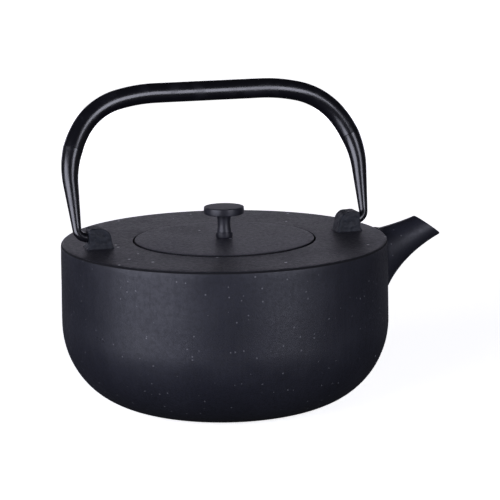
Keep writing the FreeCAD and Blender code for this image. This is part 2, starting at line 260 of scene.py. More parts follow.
def new_object(name, points, faces, sharp_degrees=SHARP_DEGREES):
    """Mesh object from points in millimetres, with its faces turned outwards and smooth shading."""
    mesh = bpy.data.meshes.new(name)
    mesh.from_pydata([Vector(p) * MM for p in points], [], faces)
    work = bmesh.new()
    work.from_mesh(mesh)
    bmesh.ops.recalc_face_normals(work, faces=work.faces)
    work.to_mesh(mesh)
    work.free()
    obj = bpy.data.objects.new(name, mesh)
    bpy.context.scene.collection.objects.link(obj)
    smooth(obj, sharp_degrees)
    return obj


def smooth(obj, sharp_degrees=SHARP_DEGREES):
    obj.data.shade_smooth()
    obj.data.set_sharp_from_angle(angle=math.radians(sharp_degrees))


def applied(obj):
    """The same object with its modifiers' result as its mesh."""
    depsgraph = bpy.context.evaluated_depsgraph_get()
    mesh = bpy.data.meshes.new_from_object(obj.evaluated_get(depsgraph))
    obj.modifiers.clear()
    obj.data = mesh
    mesh.name = obj.name
    return obj


def combine(obj, tool, operation):
    """Joins the tool to obj, or cuts it away, and removes the tool."""
    modifier = obj.modifiers.new("combine", "BOOLEAN")
    modifier.operation = operation
    modifier.solver = "EXACT"
    modifier.object = tool
    applied(obj)
    bpy.data.objects.remove(tool)
    return obj


def finish_piece(obj, body, material, slot, *nodes):
    obj.data.materials.clear()
    obj.data.materials.append(material)
    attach(obj, body)
    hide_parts(*nodes)
    return obj


def rounded(corners, steps=6):
    """Closed outline from (x, z, radius) corners, each turned into an arc of its radius."""
    outline = []
    for k, (x, z, radius) in enumerate(corners):
        corner = Vector((x, z))
        if not radius:
            outline.append(corner)
            continue
        before = (Vector(corners[k - 1][:2]) - corner).normalized()
        after = (Vector(corners[(k + 1) % len(corners)][:2]) - corner).normalized()
        half = before.angle(after) / 2
        centre = corner + (before + after).normalized() * (radius / math.sin(half))
        first = corner + before * (radius / math.tan(half)) - centre
        last = corner + after * (radius / math.tan(half)) - centre
        outline += [centre + first.slerp(last, step / steps) * radius for step in range(steps + 1)]
    return [tuple(p) for p in outline]


def divided(outline, longest):
    """The closed outline with points added so that no side is longer than that."""
    result = []
    for (x0, z0), (x1, z1) in zip(outline, outline[1:] + outline[:1]):
        parts = max(1, math.ceil(math.hypot(x1 - x0, z1 - z0) / longest))
        result += [(x0 + (x1 - x0) * k / parts, z0 + (z1 - z0) * k / parts) for k in range(parts)]
    return result


def circle(count):
    return [(math.cos(2 * math.pi * k / count), math.sin(2 * math.pi * k / count)) for k in range(count)]


def lathe(name, outline, around, sharp_degrees=SHARP_DEGREES):
    """Solid of revolution about Z from a closed outline of (radius, height) points."""
    points, rings, faces = [], [], []
    for radius, height in outline:
        if radius < 1e-6:
            rings.append([len(points)] * around)
            points.append((0, 0, height))
            continue
        rings.append(range(len(points), len(points) + around))
        points += [(radius * c, radius * s, height) for c, s in circle(around)]
    for low, high in zip(rings, rings[1:] + rings[:1]):
        for k in range(around):
            after = (k + 1) % around
            corners = dict.fromkeys((low[k], low[after], high[after], high[k]))
            if len(corners) > 2:
                faces.append(tuple(corners))
    return new_object(name, points, faces, sharp_degrees)


def skin(name, rings, sharp_degrees=SHARP_DEGREES):
    """Closed tube through rings of equally many points, with a fan across each end."""
    around = len(rings[0])
    points = [p for ring in rings for p in ring]
    faces = []
    for row in range(len(rings) - 1):
        start = row * around
        for k in range(around):
            after = (k + 1) % around
            faces.append((start + k, start + after, start + around + after, start + around + k))
    for ring, start in ((rings[0], 0), (rings[-1], (len(rings) - 1) * around)):
        middle = len(points)
        points.append(tuple(sum(axis) / around for axis in zip(*ring)))
        faces += [(start + k, start + (k + 1) % around, middle) for k in range(around)]
    return new_object(name, points, faces, sharp_degrees)


# ---------------------------------------------------------------- pot

def underside(width, depth, steps=40):
    """Quarter ellipse from the flat base out to the wall."""
    turns = [math.pi / 2 * k / steps for k in range(steps + 1)]
    return [
        (BASE_RADIUS + width * math.sin(turn), BELLY_HEIGHT - depth * math.cos(turn), 0)
        for turn in turns
    ]


def pot_outline():
    inner_top = POT_HEIGHT - DECK
    seat_underside = SEAT_HEIGHT - SEAT_THICKNESS
    outside = [(0, 0, 0)] + underside(BELLY_RADIUS - BASE_RADIUS, BELLY_HEIGHT)
    top = [
        (TOP_RADIUS, POT_HEIGHT, RIM_ROUND),
        (LID_HOLE_RADIUS, POT_HEIGHT, LID_EDGE),
        (LID_HOLE_RADIUS, SEAT_HEIGHT, SMALL_EDGE),
        (SEAT_RADIUS, SEAT_HEIGHT, SMALL_EDGE),
        (SEAT_RADIUS, seat_underside, SMALL_EDGE),
        (SEAT_OUTER_RADIUS, seat_underside, 0),
        (SEAT_OUTER_RADIUS + SEAT_FLARE, inner_top, 0),
        (TOP_RADIUS - WALL, inner_top, DECK_INNER_ROUND),
    ]
    inside = underside(BELLY_RADIUS - BASE_RADIUS - WALL, BELLY_HEIGHT - FLOOR)[::-1]
    return divided(rounded(outside + top + inside + [(0, FLOOR, 0)]), POT_OUTLINE_STEP)


def above_pot(x, y, z):
    """Distance outside the upper half of the pot, negative inside it."""
    across = math.hypot(x, y) - TOP_RADIUS + RIM_ROUND
    up = z - POT_HEIGHT + RIM_ROUND
    outside = math.hypot(max(across, 0), max(up, 0))
    return outside + min(max(across, up), 0) - RIM_ROUND


def add_waves(obj):
    """Long shallow waves, as a sand mould leaves them, fading out at the base and on the deck."""
    for vertex in obj.data.vertices:
        place = vertex.co / MM
        fade = min(1, max(0, place.z / WAVE_FADE))
        fade *= min(1, max(0, (POT_HEIGHT - place.z) / WAVE_FADE))
        out = Vector((place.x, place.y, 0)).normalized()
        wave = noise.noise(place / WAVE_LENGTH)
        wave += FINE_WAVE_SHARE * noise.noise(place / WAVE_LENGTH * FINE_WAVE_RATIO)
        vertex.co = (place + out * (wave * WALL_WAVES * fade)) * MM


# ---------------------------------------------------------------- spout

LIP_NORMAL = Vector((math.sin(LIP_SLOPE), 0, math.cos(LIP_SLOPE)))
LIP_POINT = Vector((SPOUT_END[0], 0, SPOUT_END[1])) + LIP_NORMAL * LIP_BEYOND


def spout_point(t, turn, radii, extra=0.0):
    """Point of the spout's skin at t along its curve and at a turn about it; 0 is the upper side."""
    back = 1 - t
    stations = list(zip(SPOUT_START, SPOUT_BEND, SPOUT_END))
    x, z = (back * back * a + 2 * t * back * b + t * t * c for a, b, c in stations)
    run, rise = (back * (b - a) + t * (c - b) for a, b, c in stations)
    upper = Vector((-rise, 0, run)).normalized()
    radius = radii[0] + radii[1] * back + radii[2] * back * back + extra
    outward = upper * math.cos(turn) + Vector((0, 1, 0)) * math.sin(turn)
    return Vector((x, 0, z)) + outward * radius


def solve(measure, low, high):
    """Where the rising measure passes zero between low and high."""
    for _ in range(40):
        middle = (low + high) / 2
        if measure(middle) < 0:
            low = middle
        else:
            high = middle
    return (low + high) / 2


def corner_round(distance, radius):
    """Extra offset that rounds an edge off: the whole radius on the edge, none a radius away."""
    left = radius - min(max(distance, 0), radius)
    return radius - math.sqrt(radius * radius - left * left)


def past_lip(place):
    return (place - LIP_POINT).dot(LIP_NORMAL)


def horn_column(turn):
    """One line of the spout's outer skin, from inside the pot's wall to the lip."""
    def at(t, extra=0.0):
        return spout_point(t, turn, HORN_RADII, extra)

    start = solve(lambda t: above_pot(*at(t)) + ROOT_DEPTH, *ROOT_WITHIN)
    end = solve(lambda t: past_lip(at(t)), *LIP_WITHIN)
    on_top = max(0, math.cos(turn)) ** 2
    fillet = ROOT_FILLET + (ROOT_FILLET_ON_TOP - ROOT_FILLET) * on_top
    column = []
    for ring in range(SPOUT_RINGS):
        share = ring / (SPOUT_RINGS - 1)
        share -= SPOUT_CROWDING * math.sin(2 * math.pi * share)
        t = start + (end - start) * share
        distance = above_pot(*at(t))
        extra = corner_round(distance, fillet)
        if distance < 0:
            extra = fillet + distance * on_top
        extra -= corner_round(-past_lip(at(t)), LIP_ROUND)
        column.append(at(t, extra))
    return column


def make_horn():
    columns = [horn_column(2 * math.pi * k / SPOUT_AROUND) for k in range(SPOUT_AROUND)]
    return skin("spout_horn", [[tuple(p) for p in ring] for ring in zip(*columns)])


def make_passage():
    """Tool that opens the way from the pot's inside to the lip."""
    rings = []
    for step in range(SPOUT_RINGS + 1):
        t = PASSAGE_SPAN[0] + (PASSAGE_SPAN[1] - PASSAGE_SPAN[0]) * step / SPOUT_RINGS
        ring = []
        for k in range(SPOUT_AROUND):
            turn = 2 * math.pi * k / SPOUT_AROUND
            distance = max(0, -past_lip(spout_point(t, turn, PASSAGE_RADII)))
            ring.append(tuple(spout_point(t, turn, PASSAGE_RADII, corner_round(distance, LIP_ROUND))))
        rings.append(ring)
    return skin("spout_passage", rings)


def make_pot_casting():
    casting = lathe("pot_casting", pot_outline(), POT_AROUND)
    add_waves(casting)
    combine(casting, make_horn(), "UNION")
    combine(casting, make_passage(), "DIFFERENCE")
    smooth(casting, SHARP_ON_CASTING)
    return casting


# ---------------------------------------------------------------- lugs

def make_lug(name, side, shift, lean_in, seed):
    """Rough cast block; side is 1 at the spout and -1 opposite, and seed varies the casting.

    The shift moves the block outwards, and lean_in tips its inner face further out at the top.
    """
    top = POT_HEIGHT + LUG_HEIGHT
    sunk = POT_HEIGHT - LUG_SUNK
    outline = rounded([
        (LUG_FOOT_INNER, sunk, 0),
        (LUG_FOOT_INNER + LUG_INNER_SLOPE + lean_in, top, LUG_SHOULDER),
        (LUG_OUTER, top, LUG_CORNER),
        (LUG_OUTER, POT_HEIGHT + LUG_FOOT_HEIGHT, LUG_TOE_ROUND),
        (LUG_FOOT_OUTER, POT_HEIGHT, 0),
        (LUG_FOOT_OUTER, sunk, 0),
    ])
    sides = (-LUG_WIDTH / 2, LUG_WIDTH / 2)
    lug = skin(name, [[((x + shift) * side, y, z) for x, z in outline] for y in sides])
    remesh = lug.modifiers.new("even_mesh", "REMESH")
    remesh.mode = "VOXEL"
    remesh.voxel_size = LUG_VOXEL * MM
    soften = lug.modifiers.new("soft_edges", "SMOOTH")
    soften.factor = LUG_SOFTENING
    soften.iterations = LUG_SOFTENING_STEPS
    applied(lug)
    roughen(lug, seed)
    hole = []
    for x in (PIN_HOLE_END, LUG_FOOT_OUTER + PIN_HOLE_OVERRUN):
        ring = [(PIN_HOLE_RADIUS * c, PIN_HOLE_RADIUS * s) for c, s in circle(PIN_HOLE_AROUND)]
        hole.append([(x * side, y, HINGE_HEIGHT + z) for y, z in ring])
    combine(lug, skin("pin_hole", hole), "DIFFERENCE")
    smooth(lug, SHARP_ON_LUG)
    return lug


def roughen(lug, seed):
    """Lumpy casting skin that swells a little at the foot."""
    offset = Vector((seed, seed * 2, seed * 3))
    bottom = POT_HEIGHT - LUG_LOWEST
    normals = [vertex.normal.copy() for vertex in lug.data.vertices]
    for vertex, normal in zip(lug.data.vertices, normals):
        place = vertex.co / MM
        lumps = noise.noise(place / LUG_LUMPS + offset)
        lumps += LUG_FINE_SHARE * noise.noise(place / LUG_FINE_LUMPS + offset)
        swell = LUG_SWELL * max(0, 1 - (place.z - POT_HEIGHT) / LUG_SWELL_HEIGHT) ** 2
        flat = Vector((normal.x, normal.y, 0))
        place = place + normal * (lumps * LUG_GRAIN) + flat * swell
        place.z = max(place.z, bottom)
        vertex.co = place * MM


# ---------------------------------------------------------------- bail

def along(heading):
    turn = math.radians(heading)
    return Vector((math.cos(turn), 0, -math.sin(turn)))


def outwards(heading):
    turn = math.radians(heading)
    return Vector((math.sin(turn), 0, math.cos(turn)))


def straight(place, heading, length):
    """Places along a straight run, as (place, heading), without its first."""
    steps = max(1, round(length / BAIL_STEP))
    return [(place + along(heading) * (length * k / steps), heading) for k in range(1, steps + 1)]


def bend(place, heading, radius, turn):
    """Places along an arc that turns downwards, without its first."""
    centre = place - outwards(heading) * radius
    steps = max(2, round(radius * math.radians(turn) / BAIL_STEP))
    headings = [heading + turn * k / steps for k in range(1, steps + 1)]
    return [(centre + outwards(h) * radius, h) for h in headings]


def half_bail():
    """The bail from the middle of its bar to the hook's pin: the tube's places and the leg's."""
    run = [(Vector((0, 0, HINGE_HEIGHT + BAR_HEIGHT)), 0.0)]
    run += straight(*run[-1], BAR_HALF_FLAT)
    for radius, turn in BENDS:
        before_end = TUBE_END_TURN - run[-1][1]
        if 0 < before_end < turn:
            run += bend(*run[-1], radius, before_end)
            tube_places = len(run)
            turn -= before_end
        run += bend(*run[-1], radius, turn)
    heading = run[-1][1]
    rise = HOOK_BEND * (1 + math.cos(math.radians(heading)))
    drop = run[-1][0].z - HINGE_HEIGHT - rise
    run += straight(*run[-1], drop / math.sin(math.radians(heading)))
    taper_places = len(run)
    run += bend(*run[-1], HOOK_BEND, 180 - heading)
    run += straight(*run[-1], run[-1][0].x - PIN_END)
    return run[:tube_places], run[tube_places - 1:taper_places], run[taper_places:]


def bail_ring(place, heading, radius):
    """Ring across the bail, already leaned back about the hinge."""
    ring = []
    for c, s in circle(BAIL_AROUND):
        point = place + outwards(heading) * (radius * c) + Vector((0, radius * s, 0))
        up = point.z - HINGE_HEIGHT
        y = point.y * math.cos(LEAN) + up * math.sin(LEAN)
        z = up * math.cos(LEAN) - point.y * math.sin(LEAN)
        ring.append((point.x, y, z + HINGE_HEIGHT))
    return ring


def hand_worked(radius, place):
    """The radius with the slight unevenness of tube that was bent and filed by hand."""
    wave = noise.noise(Vector((place.x, 0, place.z)) / HAND_WAVE_LENGTH)
    return radius * (1 + HAND_UNEVENNESS * wave)


def chamfered(run, radii, at_start, at_end):
    """Rings along a run, with a small chamfer where it meets its neighbour."""
    rings = []
    first, last = run[0], run[-1]
    if at_start:
        rings.append(bail_ring(first[0] + along(first[1]) * SEAM_GAP, first[1], radii[0] - SEAM_DEPTH))
        rings.append(bail_ring(first[0] + along(first[1]) * SEAM_WIDTH / 2, first[1], radii[0]))
        run, radii = run[1:], radii[1:]
    if at_end:
        run, radii = run[:-1], radii[:-1]
    rings += [bail_ring(place, heading, radius) for (place, heading), radius in zip(run, radii)]
    if at_end:
        rings.append(bail_ring(last[0] - along(last[1]) * SEAM_WIDTH / 2, last[1], BAR_RADIUS))
        rings.append(bail_ring(last[0] - along(last[1]) * SEAM_GAP, last[1], BAR_RADIUS - SEAM_DEPTH))
    return rings


def mirrored_run(run):
    """The run on the other side of the bail, in the same direction of travel."""
    return [(Vector((-place.x, place.y, place.z)), -heading) for place, heading in reversed(run)]


def make_handle_grip():
    tube = half_bail()[0]
    whole = mirrored_run(tube)[:-1] + tube
    radii = [hand_worked(BAR_RADIUS, place) for place, heading in whole]
    return skin("handle_tube", chamfered(whole, radii, True, True))


def make_handle_leg(name, side):
    tube, leg, hook = half_bail()
    shares = [k / (len(leg) - 1) for k in range(len(leg))]
    radii = [BAR_RADIUS + (WIRE_RADIUS - BAR_RADIUS) * share for share in shares]
    radii += [WIRE_RADIUS] * len(hook)
    rings = chamfered(leg + hook, radii, True, False)
    tip, heading = hook[-1]
    rings[-1] = bail_ring(tip - along(heading) * PIN_CHAMFER, heading, WIRE_RADIUS)
    rings.append(bail_ring(tip, heading, WIRE_RADIUS - PIN_CHAMFER))
    rings = [[(x * side, y, z) for x, y, z in ring] for ring in rings]
    return skin(name, rings)


# ---------------------------------------------------------------- lid and knob

def make_lid_disc():
    inner, outer = LOCATING_RING
    outline = rounded([
        (SCREW_HOLE_RADIUS, LID_TOP, 0),
        (SCREW_HOLE_RADIUS, LID_UNDERSIDE, 0),
        (inner, LID_UNDERSIDE, SMALL_EDGE),
        (inner, LID_UNDERSIDE - LOCATING_DEPTH, LOCATING_EDGE),
        (outer, LID_UNDERSIDE - LOCATING_DEPTH, LOCATING_EDGE),
        (outer, LID_UNDERSIDE, SMALL_EDGE),
        (LID_RADIUS, LID_UNDERSIDE, SMALL_EDGE),
        (LID_RADIUS, LID_TOP, LID_EDGE),
    ])
    return lathe("lid_disc", divided(outline, LID_OUTLINE_STEP), POT_AROUND)


def make_turned_knob():
    collar_top = LID_TOP + COLLAR_HEIGHT
    disc_underside = KNOB_TOP - DISC_THICKNESS
    waist = (STEM_FOOT_RADIUS + STEM_TOP_RADIUS) / 2 - STEM_WAIST_RADIUS
    stem = []
    for step in range(1, STEM_STEPS):
        share = step / STEM_STEPS
        straight_radius = STEM_FOOT_RADIUS + (STEM_TOP_RADIUS - STEM_FOOT_RADIUS) * share
        radius = straight_radius - waist * math.sin(math.pi * share)
        stem.append((radius, collar_top + (disc_underside - collar_top) * share, 0))
    outline = rounded([
        (0, KNOB_TOP, 0),
        (0, LID_TOP + THREAD_DEPTH, 0),
        (THREAD_RADIUS, LID_TOP + THREAD_DEPTH, 0),
        (THREAD_RADIUS, LID_TOP, 0),
        (COLLAR_RADIUS, LID_TOP, COLLAR_ROUND),
        (COLLAR_RADIUS, collar_top, COLLAR_TOP_ROUND),
        (STEM_FOOT_RADIUS, collar_top, STEM_FOOT_ROUND),
        *stem,
        (STEM_TOP_RADIUS, disc_underside, SMALL_EDGE),
        (DISC_RADIUS, disc_underside, DISC_ROUND),
        (DISC_RADIUS, KNOB_TOP, DISC_ROUND),
    ])
    return lathe("turned_knob", divided(outline, KNOB_OUTLINE_STEP), KNOB_AROUND)


# ---------------------------------------------------------------- infuser

def make_infuser_net():
    """Perforated sleeve: staggered rows of holes, each hole in a cell of eight faces."""
    radius = SLEEVE_RADIUS - SHEET / 2 - NET_INSET
    columns = round(2 * math.pi * radius / HOLE_PITCH)
    bottom = INFUSER_BOTTOM + CUP_EDGE - NET_OVERLAP
    rows = round((MESH_TOP - bottom) / (HOLE_PITCH * ROW_RATIO))
    row_height = (MESH_TOP - bottom) / rows
    cell_width = 2 * math.pi * radius / columns
    cell_rim = [(-1, -1), (0, -1), (1, -1), (1, 0), (1, 1), (0, 1), (-1, 1), (-1, 0)]
    points, faces, known = [], [], {}

    def vertex(column, height):
        """Index of the vertex at a place in half cells, shared between neighbouring cells."""
        key = (round(column * 1000) % (columns * 2000), round(height * 1000))
        if key not in known:
            turn = math.pi * column / columns
            level = bottom + height * row_height / 2
            known[key] = len(points)
            points.append((radius * math.cos(turn), radius * math.sin(turn), level))
        return known[key]

    for row in range(rows):
        for column in range(columns):
            middle = (2 * column + row % 2, 2 * row + 1)
            outer = [vertex(middle[0] + x, middle[1] + z) for x, z in cell_rim]
            inner = []
            for x, z in cell_rim:
                turn = math.atan2(z, x)
                inner.append(vertex(
                    middle[0] + 2 * HOLE_RADIUS / cell_width * math.cos(turn),
                    middle[1] + 2 * HOLE_RADIUS / row_height * math.sin(turn),
                ))
            for k in range(len(cell_rim)):
                after = (k + 1) % len(cell_rim)
                faces.append((outer[k], outer[after], inner[after], inner[k]))
    return thickened(new_object("infuser_net", points, faces), SHEET)


def thickened(sheet, thickness):
    solid = sheet.modifiers.new("sheet", "SOLIDIFY")
    solid.thickness = thickness * MM
    solid.offset = 0
    applied(sheet)
    smooth(sheet)
    return sheet


def make_infuser_cup():
    """Floor of the infuser: a perforated disc inside a low turned-up edge."""
    disc_radius = SLEEVE_RADIUS - CUP_EDGE
    loops = [[(disc_radius * c, disc_radius * s) for c, s in circle(CUP_AROUND)]]
    reach = int(disc_radius / HOLE_PITCH) + 2
    for row in range(-reach, reach + 1):
        for column in range(-reach, reach + 1):
            x = HOLE_PITCH * (column + 0.5 * (row % 2))
            y = HOLE_PITCH * ROW_RATIO * row
            if math.hypot(x, y) < disc_radius - HOLE_PITCH:
                loops.append([(x + HOLE_RADIUS * c, y + HOLE_RADIUS * s) for c, s in circle(HOLE_SIDES)])
    flat_points, sides = [], []
    for loop in loops:
        first = len(flat_points)
        flat_points += [Vector(p) for p in loop]
        sides += [(first + k, first + (k + 1) % len(loop)) for k in range(len(loop))]
    result = geometry.delaunay_2d_cdt(flat_points, sides, [], 2, 1e-5)
    level = INFUSER_BOTTOM + FLOOR_SHEET / 2
    points = [(p.x, p.y, level) for p in result[0]]
    faces = [tuple(face) for face in result[2]]
    ring_at = {(round(p.x, 3), round(p.y, 3)): k for k, p in enumerate(result[0])}
    last = [ring_at[(round(x, 3), round(y, 3))] for x, y in loops[0]]
    bend_radius = CUP_EDGE - FLOOR_SHEET / 2
    for step in range(1, CUP_BEND_STEPS + 2):
        turn = math.pi / 2 * min(step, CUP_BEND_STEPS) / CUP_BEND_STEPS
        radius = disc_radius + bend_radius * math.sin(turn)
        height = level + bend_radius * (1 - math.cos(turn))
        if step > CUP_BEND_STEPS:
            height = INFUSER_BOTTOM + CUP_EDGE + CUP_OVERLAP
        first = len(points)
        points += [(radius * c, radius * s, height) for c, s in circle(CUP_AROUND)]
        ring = list(range(first, first + CUP_AROUND))
        for k in range(CUP_AROUND):
            after = (k + 1) % CUP_AROUND
            faces.append((last[k], last[after], ring[after], ring[k]))
        last = ring
    return thickened(new_object("infuser_cup", points, faces), FLOOR_SHEET)


# ---------------------------------------------------------------- materials

class Finish:
    """A material under construction: one Principled shader and the nodes that feed it."""

    def __init__(self, name, **values):
        self.material = bpy.data.materials.new(name)
        self.material.use_nodes = True
        self.tree = self.material.node_tree
        self.shader = self.tree.nodes["Principled BSDF"]
        for socket, value in values.items():
            self.shader.inputs[socket.replace("_", " ")].default_value = value
        self.place = self.node("ShaderNodeTexCoord").outputs["Object"]

    def node(self, kind, inputs=(), **settings):
        """New node; inputs maps a socket's name or number to a value or to another socket."""
        made = self.tree.nodes.new(kind)
        for setting, value in settings.items():
            setattr(made, setting, value)
        for socket, value in dict(inputs).items():
            if isinstance(value, bpy.types.NodeSocket):
                self.tree.links.new(value, made.inputs[socket])
            else:
                made.inputs[socket].default_value = value
        return made

    def feed(self, socket, value):
        self.tree.links.new(value, self.shader.inputs[socket])

    def math(self, operation, first, second=0.0):
        return self.node("ShaderNodeMath", {0: first, 1: second}, operation=operation).outputs[0]

    def noise(self, size_mm, detail=2.0, roughness=0.5, place=None):
        """Noise whose lumps are about that many millimetres across."""
        made = self.node("ShaderNodeTexNoise", {
            "Vector": place or self.place, "Scale": 1 / (size_mm * MM),
            "Detail": detail, "Roughness": roughness,
        })
        return made.outputs["Fac"]

    def stretched(self, x, y, z):
        """The place with each axis multiplied, for streaks."""
        made = self.node("ShaderNodeVectorMath", {0: self.place, 1: (x, y, z)}, operation="MULTIPLY")
        return made.outputs[0]

    def between(self, value, low, high, to_low=0.0, to_high=1.0):
        """The value from low to high, mapped smoothly to the range given."""
        made = self.node("ShaderNodeMapRange", {
            "Value": value, "From Min": low, "From Max": high, "To Min": to_low, "To Max": to_high,
        }, interpolation_type="SMOOTHSTEP")
        return made.outputs["Result"]

    def mix(self, share, first, second):
        """Mix of two colours; share 0 is the first."""
        made = self.node("ShaderNodeMix", data_type="RGBA")
        for index, value in ((0, share), (6, first), (7, second)):
            if isinstance(value, bpy.types.NodeSocket):
                self.tree.links.new(value, made.inputs[index])
            else:
                made.inputs[index].default_value = value
        return made.outputs[2]

    def dots(self, spacing_mm, radius_mm, share, place=None):
        """1 on scattered round dots, 0 elsewhere; share is how many of the cells have one."""
        cells = self.node("ShaderNodeTexVoronoi", {
            "Vector": place or self.place, "Scale": 1 / (spacing_mm * MM), "Randomness": 1.0,
        })
        size = radius_mm / spacing_mm
        near = self.between(cells.outputs["Distance"], size, size * 0.5)
        chosen = self.node("ShaderNodeSeparateColor", {0: cells.outputs["Color"]}).outputs[0]
        return self.math("MULTIPLY", near, self.math("LESS_THAN", chosen, share))

    def bump(self, height, depth_mm, normal=None):
        """Bump of that depth from a height between 0 and 1."""
        inputs = {"Height": height, "Distance": depth_mm * MM, "Strength": 1.0}
        if normal:
            inputs["Normal"] = normal
        return self.node("ShaderNodeBump", inputs).outputs["Normal"]


def grey(level, blue=1.0, red=1.0):
    return (level * red, level, level * blue, 1.0)


def axis_and_height(finish):
    """Distance from the pot's axis, and height."""
    x, y, z = finish.node("ShaderNodeSeparateXYZ", {0: finish.place}).outputs
    squares = finish.math("ADD", finish.math("MULTIPLY", x, x), finish.math("MULTIPLY", y, y))
    return finish.math("SQRT", squares), z


def deck_mask(finish):
    """1 on the flat top of the pot and lid, 0 on the wall and the spout."""
    across, z = axis_and_height(finish)
    high = finish.between(z, (POT_HEIGHT - 0.7) * MM, (POT_HEIGHT - 0.1) * MM)
    within = finish.between(across, (TOP_RADIUS + 0.4) * MM, (TOP_RADIUS - 0.6) * MM)
    return finish.math("MULTIPLY", high, within)


def shade_mask(finish):
    """1 in the gap round the lid and on the rim's dark line, 0 elsewhere."""
    across, z = axis_and_height(finish)
    from_inside = finish.between(across, (LID_RADIUS - 0.2) * MM, LID_RADIUS * MM)
    from_outside = finish.between(across, (LID_HOLE_RADIUS + 0.25) * MM, (LID_HOLE_RADIUS + 0.05) * MM)
    gap = finish.math("MULTIPLY", from_inside, from_outside)
    round_of_rim = finish.between(across, (TOP_RADIUS - 0.75) * MM, (TOP_RADIUS - 0.45) * MM)
    off_spout = finish.between(across, (TOP_RADIUS + 0.6) * MM, (TOP_RADIUS + 0.1) * MM)
    above_wall = finish.between(z, (POT_HEIGHT - RIM_ROUND) * MM, (POT_HEIGHT - RIM_ROUND + 0.5) * MM)
    line = finish.math("MULTIPLY", finish.math("MULTIPLY", round_of_rim, off_spout), above_wall)
    return finish.math("MAXIMUM", gap, line)


def pits(finish):
    """1 in the few small pits that the mould left low on the wall."""
    total = None
    for degrees, height, radius in CASTING_PITS:
        turn = math.radians(degrees)
        centre = Vector((BELLY_RADIUS * math.cos(turn), BELLY_RADIUS * math.sin(turn), height)) * MM
        apart = finish.node("ShaderNodeVectorMath", {0: finish.place, 1: centre}, operation="DISTANCE")
        pit = finish.between(apart.outputs["Value"], radius * MM, radius * 0.5 * MM)
        total = pit if total is None else finish.math("MAXIMUM", total, pit)
    return total


def pale_marks(finish, colour, deck):
    """The colour with the iron's fine grit, pale specks and a few short scratches on it."""
    grit = finish.math("MULTIPLY", finish.dots(*GRIT), GRIT_STRENGTH)
    specks = finish.dots(*WALL_SPECKS)
    deck_specks = finish.math("MULTIPLY", finish.dots(*DECK_SPECKS), deck)
    deck_specks = finish.math("MULTIPLY", deck_specks, DECK_SPECK_STRENGTH)
    upright = finish.dots(*UPRIGHT_SCRATCHES, finish.stretched(1.0, 1.0, 0.16))
    slanted = finish.node("ShaderNodeMapping", {
        "Vector": finish.place, "Rotation": (0.6, 0.4, 0.5), "Scale": (1.0, 1.0, 0.14),
    })
    scratches = finish.math("MAXIMUM", upright, finish.dots(*SLANTED_SCRATCHES, slanted.outputs[0]))
    marks = finish.math("MAXIMUM", finish.math("MAXIMUM", grit, specks), deck_specks)
    marks = finish.math("MAXIMUM", marks, finish.math("MULTIPLY", scratches, SCRATCH_STRENGTH))
    return finish.mix(marks, colour, SPECK)


def cast_iron(name, lightness):
    """Blackened cast iron with a fine sandy skin, coarser on its flat top, and how light that top is."""
    finish = Finish(name, Specular_IOR_Level=0.34)
    deck = deck_mask(finish)
    clouds = finish.between(finish.noise(22, 3.0), *CLOUDS)
    wall = finish.mix(clouds, *WALL_COLOURS)
    top = finish.mix(clouds, *(grey(level * lightness, *DECK_TINT) for level in DECK_GREYS))
    colour = finish.mix(deck, wall, top)
    grain = finish.noise(2.2, 4.0, 0.75)
    colour = finish.mix(finish.between(grain, 0.32, 0.60, 0.50, 0.0), colour, GRAIN_DARK)
    colour = pale_marks(finish, colour, deck)
    holes = pits(finish)
    shade = shade_mask(finish)
    colour = finish.mix(finish.math("MAXIMUM", holes, shade), colour, SHADE_DARK)
    finish.feed("Base Color", colour)
    streaks = finish.between(finish.noise(1.6, 2.0, 0.5, finish.stretched(1.0, 1.0, 0.06)), 0.40, 0.70)
    roughness = finish.between(clouds, 0, 1, *IRON_ROUGHNESS)
    roughness = finish.math("ADD", roughness, finish.math("MULTIPLY", streaks, STREAKS_DULLER))
    roughness = finish.math("ADD", roughness, finish.math("MULTIPLY", deck, DECK_DULLER))
    grainy = finish.between(grain, 0.35, 0.65, GRAIN_DULLER, -GRAIN_DULLER)
    roughness = finish.math("ADD", roughness, grainy)
    roughness = finish.math("MAXIMUM", roughness, shade)
    finish.feed("Roughness", roughness)
    sand = finish.math("MULTIPLY", grain, finish.between(deck, 0, 1, 0.45, 1.0))
    normal = finish.bump(sand, 0.17)
    normal = finish.bump(finish.noise(4.5, 2.0), 0.05, normal)
    normal = finish.bump(finish.math("SUBTRACT", 1.0, holes), 0.25, normal)
    finish.feed("Normal", normal)
    return finish.material


def lug_iron():
    """Iron as it left the sand: coarse, bluish black."""
    finish = Finish("lug_iron", Specular_IOR_Level=0.28)
    grain = finish.noise(0.9, 4.0, 0.7)
    lumps = finish.noise(2.4, 2.0)
    colour = finish.mix(finish.between(lumps, *CLOUDS), *LUG_COLOURS)
    colour = finish.mix(finish.dots(*LUG_SPECKS), colour, LUG_SPECK)
    finish.feed("Base Color", colour)
    finish.feed("Roughness", finish.between(grain, *CLOUDS, *LUG_ROUGHNESS))
    finish.feed("Normal", finish.bump(grain, 0.16, finish.bump(lumps, 0.25)))
    return finish.material


def black_lacquer():
    """Satin lacquer over bent steel tube, with a faint orange peel and rubbed spots."""
    finish = Finish("black_lacquer", IOR=1.5)
    rubbed = finish.between(finish.noise(9, 3.0), 0.45, 0.75)
    finish.feed("Base Color", finish.mix(rubbed, *LACQUER_COLOURS))
    specks = finish.math("MULTIPLY", finish.dots(*LACQUER_SPECKS), LACQUER_SPECKS_DULLER)
    roughness = finish.between(rubbed, 0, 1, *LACQUER_ROUGHNESS)
    finish.feed("Roughness", finish.math("ADD", roughness, specks))
    peel = finish.noise(0.8, 2.0)
    finish.feed("Normal", finish.bump(peel, 0.006, finish.bump(finish.noise(5.0, 1.0), 0.03)))
    return finish.material


